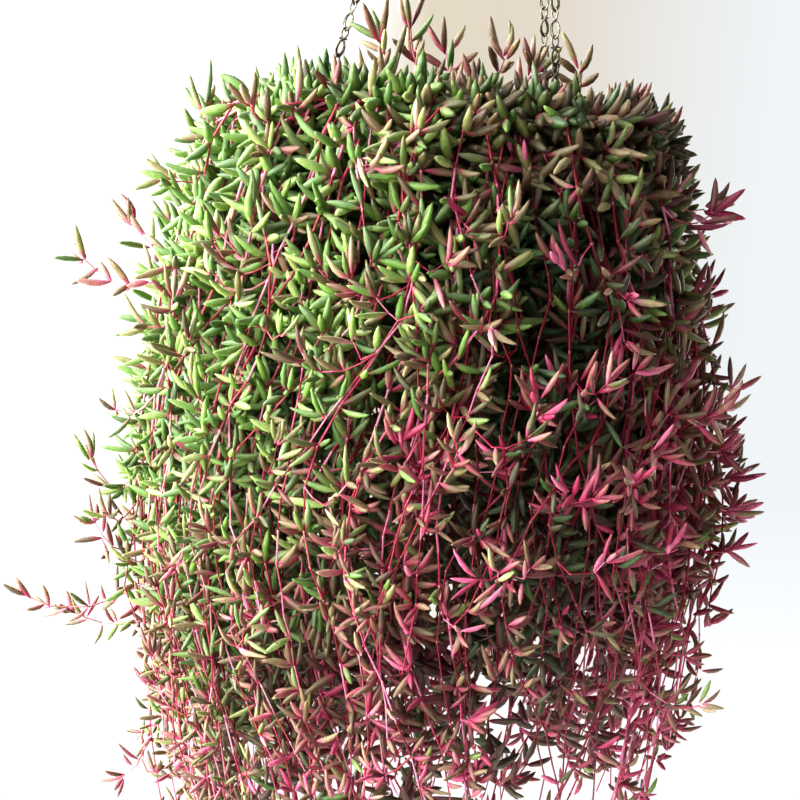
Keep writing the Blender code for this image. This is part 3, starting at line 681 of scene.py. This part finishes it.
# A painted highlight lies on the swollen node at the foot of each internode.
node_highlight = sums(tree, "MULTIPLY_ADD", attribute(tree, "along"), -9.0, 0.9, clamp=True)
body = mix_colours(tree, ripe, salmon_and_lit_side, red)
body = mix_colours(tree, sums(tree, "MULTIPLY", node_highlight, 0.55), body, NODE_HIGHLIGHT_COLOUR)
tree.links.new(body, skin.inputs["Base Color"])
tree.links.new(sums(tree, "MULTIPLY_ADD", mottle, 0.2, 0.24), skin.inputs["Roughness"])
bumps(tree, noise(tree, 1200), 0.0002, 0.3)


# Trailing bundles. Each comes out of the soil near the rim, bends over it, parts and hangs, and side by side
# they close into a curtain round the pot. Depths are measured down from the top of the crown.
CROWN_RISE = 0.055
CROWN_TOP = RIM_Z + CROWN_RISE
OVER_RIM = CROWN_RISE - 0.024
ROOT_AT = 0.086
# How far the foliage's outline is from the middle, as (depth, radius), and how far its top leans to the left.
OUTLINE = [
    (0.000, 0.138), (0.020, 0.180), (0.075, 0.196), (0.137, 0.214), (0.250, 0.226),
    (0.350, 0.221), (0.440, 0.209), (0.520, 0.192), (0.600, 0.164), (0.660, 0.120),
]
TOP_LEAN = 0.024
LEAN_ENDS = 0.45
SWAY = 0.09
SWAY_LENGTH = 0.46
BUNDLES = 18
LEAF_LENGTH = 0.0262
LEAF_WIDTH = 0.0066
LENGTH_SPREAD = (0.62, 1.36, 0.95)
WIDTH_SPREAD = (0.82, 1.14)
LEAF_TURN = 2.4
# Leaf sizes at the top of the curtain and at its foot, outside and inside.
FINE_SIZES = (1.18, 0.72)
PLAIN_SIZES = (0.90, 0.76)


def polar(radius, angle, depth):
    return Vector((radius * math.cos(angle), radius * math.sin(angle), CROWN_TOP - depth))


def part_way(value, start, reach):
    """How much of its reach a value has gone past a start, from 0 to 1. A reach below 0 runs downwards."""
    return min(1.0, max(0.0, (value - start) / reach))


def outline_radius(angle, depth):
    lean = TOP_LEAN * max(0.0, 1 - depth / LEAN_ENDS)
    return float(np.interp(depth, *zip(*OUTLINE))) - lean * math.cos(angle)


def hung(radius, angle, depth):
    """A place in the curtain, which sways a little to one side and the other on its way down."""
    sway = SWAY * part_way(depth, 0.10, 0.10) * math.sin(2 * math.pi * depth / SWAY_LENGTH)
    return polar(radius, angle + sway, depth)


def smooth_path(stations, pieces=6):
    """Points on a smooth curve through the stations."""
    ends = [stations[0] * 2 - stations[1], *stations, stations[-1] * 2 - stations[-2]]
    points = []
    for a, b, c, d in zip(ends, ends[1:], ends[2:], ends[3:]):
        for step in range(pieces):
            t = step / pieces
            points.append(0.5 * (2 * b + (c - a) * t + (2 * a - 5 * b + 4 * c - d) * t**2
                                 + (3 * b - a - 3 * c + d) * t**3))
    return points + [stations[-1]]


def nodes_on(points, gap, stray, draw):
    """Nodes along a path, each a random internode from the last, to one side of it and the other by turns."""
    nodes, left = [points[0]], gap
    for a, b in zip(points, points[1:]):
        length = (b - a).length
        done = 0.0
        while length - done > left:
            done += left
            nodes.append(a.lerp(b, done / length))
            left = gap * draw.uniform(0.7, 1.35)
        left -= length - done
    way = 1
    for number in range(1, len(nodes)):
        way = -way
        side = Vector((-nodes[number].y, nodes[number].x, 0)).normalized()
        shift = side * way * stray * draw.uniform(0.3, 1.2)
        nodes[number] = nodes[number] + shift + Vector([draw.gauss(0, stray * 0.4) for _ in range(3)])
    return nodes


STEM_ROWS = 0.125
CELL_EDGE = 0.06


class Growth:
    """One bundle's or tuft's stems and leaves, as copies of the shapes in one mesh."""

    def __init__(self, name, seed):
        self.name, self.draw, self.bm, self.rows = name, random.Random(seed), bmesh.new(), []

    def put(self, shape, foot, aim, up, length, width, ripe, tone):
        """Adds a copy of a shape that points along an aim, with its upper side towards up."""
        forward = aim.normalized()
        side = forward.cross(up).normalized()
        top = side.cross(forward)
        place = Matrix((top * width, side * width, forward * length)).transposed().to_4x4()
        place.translation = foot
        copy = shape.copy()
        copy.transform(place)
        self.bm.from_mesh(copy)
        bpy.data.meshes.remove(copy)
        self.rows.append((shape, ripe, tone))

    def stem(self, nodes, thick, thin, fine=True, lightness_and_painted_shade=1.0):
        """Internodes from node to node, which thin out towards the tip and redden towards the right. The paler
        salmon of the less ripe ones, most of them on the left, is partly their own colour and partly a painted
        lit side, and a lightness below 1 darkens them as painted shade.
        """
        shape = FINE_STEM if fine else PLAIN_STEM
        for number, (a, b) in enumerate(zip(nodes, nodes[1:])):
            wide = thick + (thin - thick) * number / max(1, len(nodes) - 2)
            way = b - a
            up = Vector((0.3, 1, 0.1)) if abs(way.normalized().y) < 0.9 else Vector((1, 0, 0))
            foot = a - way.normalized() * wide * 0.5
            ripe = part_way(0.70 + 2.4 * (a.x + 0.12) + self.draw.gauss(0, 0.2), 0, 1)
            self.put(shape, foot, way, up, way.length + wide, wide, ripe, self.draw.random() * lightness_and_painted_shade)

    def cluster(self, node, aim, count, size, ripe, fine=True, spread=0.75, lightness_and_painted_shade=1.0, slim=False):
        """Leaves that stand out from one node round an aim, their hollow sides up.

        They get smaller on the way down. Those at the very top are short and plump, unless slim. A lightness
        below 1 darkens them as painted shade, and one above 1 makes them paler.
        """
        draw = self.draw
        shapes = FINE_LEAVES if fine else PLAIN_LEAVES
        aim = aim.normalized()
        around = aim.orthogonal().normalized()
        turn = draw.uniform(0, 2 * math.pi)
        depth = CROWN_TOP - node.z
        top, low = FINE_SIZES if fine else PLAIN_SIZES
        size *= top + (low - top) * part_way(depth, 0.09, 0.42)
        high = part_way(depth, 0.10, -0.06)
        short, broad = (1.0, 0.84) if slim else (1 - 0.14 * high, 1 + 0.12 * high)
        for number in range(count):
            turn += LEAF_TURN + draw.uniform(-0.5, 0.5)
            open_ = spread * draw.uniform(0.45, 1.25)
            side = Quaternion(aim, turn) @ around
            way = (aim * math.cos(open_) + side * math.sin(open_)).normalized()
            foot = node + way * 0.0008 + Vector([draw.gauss(0, 0.0012) for _ in range(3)])
            up = Vector((0, 0, 1)) if abs(way.z) < 0.95 else Vector((node.x, node.y, 0))
            length = LEAF_LENGTH * size * short * draw.triangular(*LENGTH_SPREAD)
            width = LEAF_WIDTH * size**1.2 * draw.uniform(*WIDTH_SPREAD) * broad
            shape = draw.choice(shapes)
            own_ripe = max(0, ripe + draw.gauss(0, 0.08 + 0.21 * ripe))
            # A lightness below 1 lowers the tone as painted shade.
            tone = draw.random() * lightness_and_painted_shade - 0.18 * (1 - lightness_and_painted_shade)
            self.put(shape, foot, way, up, length, width, own_ripe, tone)

    def finish(self, node):
        """Makes one mesh of the copies, with their marks, and hangs it in place of its solid."""
        mesh = bpy.data.meshes.new(self.name)
        self.bm.to_mesh(mesh)
        self.bm.free()
        points = np.array([len(shape.vertices) for shape, _, _ in self.rows])
        faces = np.array([len(shape.polygons) for shape, _, _ in self.rows])
        corners = np.array([len(shape.loops) for shape, _, _ in self.rows])
        for place, name in ((1, "ripe"), (2, "tone")):
            values = np.repeat([row[place] for row in self.rows], points).astype(np.float32)
            mesh.attributes.new(name, "FLOAT", "POINT").data.foreach_set("value", values)
        is_stem = np.array([shape in (FINE_STEM, PLAIN_STEM) for shape, _, _ in self.rows])
        mesh.polygons.foreach_set("material_index", np.repeat(is_stem, faces).astype(np.int32))
        mesh.materials.append(leaf_skin)
        mesh.materials.append(stem_skin)
        self.lay_map(mesh, is_stem, corners)
        piece = bpy.data.objects.new(self.name, mesh)
        bpy.context.scene.collection.objects.link(piece)
        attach(piece, "root")
        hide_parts(node)

    def lay_map(self, mesh, is_stem, corners):
        """Gives each leaf a cell of the map's upper seven eighths, and each internode one of the rest."""
        layer = mesh.uv_layers[MAP]
        spots = np.zeros(len(mesh.loops) * 2, np.float32)
        layer.data.foreach_get("uv", spots)
        spots = spots.reshape(-1, 2)
        cells = np.zeros((len(self.rows), 4), np.float32)
        for kind, low, high in ((False, STEM_ROWS, 1.0), (True, 0.0, STEM_ROWS)):
            chosen = np.flatnonzero(is_stem == kind)
            across = max(1, math.ceil(math.sqrt(len(chosen) / (high - low))))
            rows = max(1, math.ceil(len(chosen) / across))
            number = np.arange(len(chosen))
            tall = (high - low) / rows
            cells[chosen] = np.stack([
                (number % across) / across, low + (number // across) * tall,
                np.full(len(chosen), 1 / across), np.full(len(chosen), tall),
            ], 1)
        cells = np.repeat(cells, corners, axis=0)
        spots = cells[:, :2] + cells[:, 2:] * (CELL_EDGE + (1 - 2 * CELL_EDGE) * np.clip(spots, 0, 1))
        layer.data.foreach_set("uv", spots.ravel().astype(np.float32))


def sunned(place):
    """How red the leaves are at a place: little at the upper left, more towards the right and below."""
    depth = CROWN_TOP - place.z
    late = 0.29 - 0.13 * part_way(place.x, -0.15, 0.15)
    right = max(0, place.x + 0.12)
    top = 0.19 * part_way(depth, 0.17, -0.08) * part_way(place.x, -0.17, 0.12)
    below = (0.66 + 0.8 * right) * part_way(depth, late, 0.26)
    return min(1.14, 0.20 + top + below + 1.6 * right)


# How a strand grows: gap between nodes, fewest and most leaves at a node, leaf size, how far its nodes stray,
# how far it wanders round the pot, and whether it is on the outside.
Habit = namedtuple("Habit", "gap leaves size stray wander outer")

# Two strands of each bundle hold its side sprays: place across the bundle's half width, inset from the
# outline, and the depths that its end lies between.
HOLDERS = [(-0.5, 0.016, 0.47, 0.60), (0.5, 0.023, 0.56, 0.655)]
HOLDER_HABIT = Habit(0.0215, (1, 4), 0.96, 0.001, 0.05, True)

# The rest, from the outer curtain in: how many in a bundle, insets from the outline, and depths of their ends.
KINDS = [
    (4, (0.002, 0.014), (0.42, 0.655), Habit(0.0240, (1, 3), 0.84, 0.0008, 0.17, True)),
    (3, (0.026, 0.046), (0.42, 0.63), Habit(0.0215, (2, 4), 0.98, 0.0008, 0.10, True)),
    (4, (0.042, 0.066), (0.40, 0.60), Habit(0.0195, (2, 3), 1.18, 0.0025, 0.05, False)),
    (4, (0.070, 0.130), (0.36, 0.58), Habit(0.0200, (2, 3), 1.50, 0.0030, 0.08, False)),
]

# Side sprays: the bundle, its holder, the share of the holder's length, and the reach and rise of the tip.
# The low ones reach further still.
SPRAYS = [
    (1, 0, 0.50, 0.046, 0.010), (4, 1, 0.30, 0.046, 0.015), (7, 1, 0.24, 0.066, 0.012),
    (8, 0, 0.36, 0.074, 0.004), (8, 1, 0.64, 0.080, -0.006), (9, 0, 0.78, 0.070, -0.020),
    (13, 1, 0.42, 0.050, 0.012), (16, 0, 0.72, 0.048, -0.004),
]
LOW_SHARE = 0.7
LOW_REACH = 1.3

# A dark hollow shows right of the middle. Between these angles and depths, outer strands are partly bare, and
# the leaves and stems left there are painted dark as shade.
HOLLOW_ANGLES = (4.85, 5.5)
HOLLOW_TOP = 0.10
HOLLOW_ENDS = (0.32, 0.46)
HOLLOW_BARE = 0.62

# Low on the right, strands are thinned.
THIN_FROM_X = 0.03
THIN_BELOW = 0.36
THINNED = 0.28

# Strands keep clear of the pot's side above this depth, and bear no leaves inside the rim under its top.
POT_DEPTH = 0.26
CLEAR_OF_POT = 0.122
BARE_WITHIN = 0.100

# Stems are this wide at their foot and at their tip.
STEM_THICK, STEM_THIN = (0.0023, 0.0034), (0.0010, 0.0015)
SPRIG_THICK, SPRIG_THIN = 0.0016, 0.0011

# How much redder than its place an outer strand, or a side shoot, may be.
STRAND_FLUSHES = (-0.12, 0.0, 0.0, 0.50)
SPRIG_FLUSHES = (0.15, 0.30, 0.70)
SPRIG_REACH = (0.020, 0.060)
SPRIG_GAP = 0.012
RIM_SPRIGS = 7


def sprig(growth, start, aim, length, rise, ripe):
    """A side shoot that leaves its stem outwards and curves up to its tip, leafy all along."""
    draw = growth.draw
    stations = []
    for share in (0.0, 0.35, 0.7, 1.0):
        lift = rise * share**2 - 0.22 * length * math.sin(math.pi * share)
        stations.append(start + aim.normalized() * length * share + Vector((0, 0, lift)))
    nodes = nodes_on(smooth_path(stations, 4), SPRIG_GAP, 0.0010, draw)
    growth.stem(nodes, SPRIG_THICK, SPRIG_THIN)
    for node in nodes[2:]:
        if node is nodes[-1]:
            way = (nodes[-1] - nodes[-2]).normalized()
            counts, spread = (3, 4, 5), 0.75
        else:
            way = aim.normalized() + Vector((0, 0, draw.uniform(-0.3, 0.6)))
            counts, spread = (1, 2, 3), 1.1
        growth.cluster(node, way, draw.choice(counts), 0.88, ripe + draw.uniform(0, 0.30), spread=spread,
                       lightness_and_painted_shade=1.15, slim=True)


def strand(growth, angle, aside, inset, end, habit):
    """One stem from the soil over the rim to its hanging end, with its leaves; returns its nodes."""
    draw = growth.draw
    gap, leaves, size, stray, wander, outer = habit
    shaded = HOLLOW_ANGLES[0] < (angle + aside) % (2 * math.pi) < HOLLOW_ANGLES[1]
    first = OVER_RIM + 0.001
    foot = Vector((draw.uniform(-1, 1), draw.uniform(-1, 1), 0)) * 0.0032
    soil_depth = CROWN_TOP - soil_top(ROOT_AT)
    # Out of the soil, up inside the rim, over the flange and past its edge.
    stations = [
        polar(ROOT_AT, angle, soil_depth + 0.006) + foot, polar(ROOT_AT, angle, soil_depth - 0.003) + foot,
        polar(ROOT_AT + 0.007, angle, OVER_RIM + 0.012) + foot,
        polar(0.112, angle + aside * 0.25, OVER_RIM + draw.uniform(-0.001, 0.010)) + foot,
        polar(0.134, angle + aside * 0.5, OVER_RIM + draw.uniform(0.000, 0.014)) + foot,
    ]
    phase, beat = draw.uniform(0, 2 * math.pi), draw.uniform(0.34, 0.62)
    drift = wander * draw.uniform(-1.1, 1.1)
    flush = draw.choice(STRAND_FLUSHES) if outer else 0.0
    for lower in np.linspace(first + 0.018, end, 9):
        swing = wander * part_way(lower, first, 0.12) * math.sin(phase + 2 * math.pi * lower / beat)
        here = angle + aside + swing + drift * lower / 0.45
        radius = outline_radius(here, lower) - inset - 0.004 - 0.004 * max(0, math.cos(here))
        radius -= 0.016 * part_way(lower, 0.33, -0.20)
        if lower < POT_DEPTH:
            radius = max(radius, CLEAR_OF_POT + 0.1 * inset)
        stations.append(hung(radius, here, lower) + Vector([draw.gauss(0, 0.004) for _ in range(3)]))
    nodes = nodes_on(smooth_path(stations), gap, stray, draw)
    # Stems of inner strands, and still more those in the hollow, are painted darker as shade.
    stem_painted_shade_lightness = 0.1 if shaded else 1.0 if outer else 0.35
    growth.stem(nodes, draw.uniform(*STEM_THICK), draw.uniform(*STEM_THIN), outer, stem_painted_shade_lightness)
    for node in nodes:
        out = Vector((node.x, node.y, 0))
        depth = CROWN_TOP - node.z
        if out.length < BARE_WITHIN and depth > OVER_RIM + 0.01:
            continue
        if node.x > THIN_FROM_X and depth > THIN_BELOW and draw.random() < THINNED:
            continue
        ripe = sunned(node) * (1.0 if outer else 0.85)
        ripe += flush * part_way(depth, 0.10, 0.15) * part_way(sunned(node), 0, 0.7)
        # Inner leaves are painted darker as shade, more so towards the right, away from the window.
        lightness_and_painted_shade = 1.0 if outer else 0.15 + 0.30 * part_way(node.x, 0.05, -0.12)
        if shaded and HOLLOW_TOP < depth < draw.uniform(*HOLLOW_ENDS):
            if outer and draw.random() < HOLLOW_BARE:
                continue
            # The leaves left in the hollow stay greener, and are painted much darker as shade.
            ripe, lightness_and_painted_shade = ripe * 0.6, lightness_and_painted_shade * 0.1
        tangent = Vector((-node.y, node.x, 0)).normalized()
        aim = out.normalized() * draw.uniform(-0.1, 0.9) + tangent * draw.uniform(-1.3, 1.3)
        aim += Vector((0, 0, draw.uniform(-0.7, 0.9 if depth > 0.08 else 0.1)))
        more = outer and depth > 0.28 and draw.random() < 0.5
        count = draw.randint(*leaves) + more
        if outer and depth > 0.14:
            count = draw.choice((0, count, count, count + 2))
        growth.cluster(node, aim, count, size, ripe, fine=outer, spread=0.9, lightness_and_painted_shade=lightness_and_painted_shade)
    return nodes


for number in range(BUNDLES):
    growth = Growth(f"trailing_stems_{number + 1:02d}", 1000 + number)
    draw = growth.draw
    angle = (number + 0.5) * 2 * math.pi / BUNDLES
    wedge = math.pi / BUNDLES
    ends = random.Random(100 + number)
    for which, (across, inset, shallow, deep) in enumerate(HOLDERS):
        end = ends.uniform(shallow, deep)
        strand(growth, angle, across * wedge, inset, end, HOLDER_HABIT)
        points = [polar(0.130, angle, OVER_RIM + 0.001)]
        for lower in np.linspace(OVER_RIM + 0.019, end, 6):
            radius = outline_radius(angle + across * wedge, lower) - inset
            points.append(hung(radius, angle + across * wedge, lower))
        for owner, holder, share, reach, rise in SPRAYS:
            if (owner, holder) == (number, which):
                lengths = np.cumsum([0] + [(b - a).length for a, b in zip(points, points[1:])])
                down = share * lengths[-1]
                step = int(np.searchsorted(lengths, down)) - 1
                past = (down - lengths[step]) / (lengths[step + 1] - lengths[step])
                start = points[step].lerp(points[step + 1], past)
                reach *= LOW_REACH if share > LOW_SHARE else 1.0
                sprig(growth, start, Vector((start.x, start.y, 0)), reach, rise, 0.75)
    for count, insets, depths, habit in KINDS:
        for place in range(count):
            aside = wedge * (2 * (place + draw.uniform(0.1, 0.9)) / count - 1)
            inset, end = draw.uniform(*insets), draw.uniform(*depths)
            end *= 1 - 0.15 * max(0, math.cos(angle + aside + 0.3))
            nodes = strand(growth, angle, aside, inset, end, habit)
            if habit.outer:
                for _ in range(3 if place < 3 else 1):
                    node = draw.choice(nodes[5:-1])
                    out = Vector((node.x, node.y, 0)).normalized()
                    side = Vector((-out.y, out.x, 0)) * draw.uniform(-1.4, 1.4)
                    aim = out * draw.uniform(0.2, 0.8) + side + Vector((0, 0, draw.uniform(-0.8, 0.1)))
                    reach = draw.uniform(*SPRIG_REACH) * (0.6 if node.x > 0.14 else 1.0)
                    redder = draw.choice(SPRIG_FLUSHES) * min(1, 0.25 + sunned(node))
                    sprig(growth, node, aim, reach, draw.uniform(0.0, 0.020), sunned(node) + redder)
    for shoot in range(RIM_SPRIGS):
        start = polar(0.060 + 0.011 * shoot, angle + draw.uniform(-1, 1) * wedge, OVER_RIM + 0.016)
        out = Vector((start.x, start.y, 0)).normalized()
        aim = out * draw.uniform(-0.4, 0.8) + Vector((-out.y, out.x, 0)) * draw.uniform(-1, 1)
        aim += Vector((0, 0, draw.uniform(0.1, 0.7)))
        sprig(growth, start, aim, draw.uniform(0.016, 0.030), 0.0, sunned(start) + draw.uniform(0, 0.3))
    growth.finish(f"trailing_bundle_{number + 1:02d}")


# Crown. Eleven tufts of short upright shoots fill the middle of the pot, rooted in the soil inside the
# bundles. One stands at the middle and the rest in two rings round it.
TUFT_RINGS = [(1, 0.000), (4, 0.030), (6, 0.060)]
TUFT_SHOOTS = 9
SHOOT_GAP = 0.011
SHOOT_STRAY = 0.0015
SHOOT_THICK, SHOOT_THIN = 0.0024, 0.0014
# A few shoots stand up out of the rest: the tuft that each belongs to, its foot and its tip.
TALL_SHOOTS = [
    ("crown_tuft_10", (-0.045, -0.052, -0.590), (-0.074, -0.060, -0.564)),
    ("crown_tuft_04", (-0.034, -0.030, -0.590), (-0.054, -0.040, -0.546)),
    ("crown_tuft_01", (-0.016, -0.012, -0.590), (-0.026, -0.030, -0.562)),
    ("crown_tuft_05", (0.000, -0.020, -0.590), (0.020, -0.035, -0.560)),
    ("crown_tuft_06", (0.070, -0.010, -0.595), (0.072, -0.020, -0.571)),
    ("crown_tuft_11", (0.024, -0.052, -0.592), (0.040, -0.070, -0.576)),
    ("crown_tuft_08", (-0.030, 0.052, -0.592), (-0.050, 0.070, -0.560)),
    ("crown_tuft_07", (0.030, 0.052, -0.592), (0.040, 0.075, -0.562)),
]

tuft = 0
for ring, (count, radius) in enumerate(TUFT_RINGS):
    for place in range(count):
        tuft += 1
        angle = (place + 0.5 * (ring % 2)) * 2 * math.pi / count
        growth = Growth(f"crown_shoots_{tuft:02d}", 2000 + tuft)
        draw = growth.draw
        for shoot in range(TUFT_SHOOTS):
            foot = polar(radius, angle, CROWN_TOP - soil_top(radius) + 0.006)
            foot += Vector((draw.uniform(-1, 1), draw.uniform(-1, 1), 0)) * 0.0025
            spread = Vector((draw.uniform(-1, 1), draw.uniform(-1, 1), 0)) * 0.026
            head = polar(radius * 1.25, angle, draw.uniform(0.042, 0.056)) + spread
            points = smooth_path([foot, foot + Vector((0, 0, 0.010)), foot.lerp(head, 0.5), head], 4)
            nodes = nodes_on(points, SHOOT_GAP, SHOOT_STRAY, draw)
            growth.stem(nodes, SHOOT_THICK, SHOOT_THIN)
            for node in nodes[2:]:
                out = Vector((node.x, node.y, 0)) * 6 + Vector([draw.uniform(-1, 1) for _ in range(3)])
                out.z -= 0.3
                leaves = draw.randint(2, 3)
                ripe = sunned(node) + draw.uniform(-0.1, 0.2)
                growth.cluster(node, out, leaves, 0.95, ripe, spread=1.2)
        for owner, low, high in TALL_SHOOTS:
            if owner == f"crown_tuft_{tuft:02d}":
                rise = Vector(high) - Vector(low)
                sprig(growth, Vector(low), rise, rise.length, 0.008, 0.60)
        growth.finish(f"crown_tuft_{tuft:02d}")
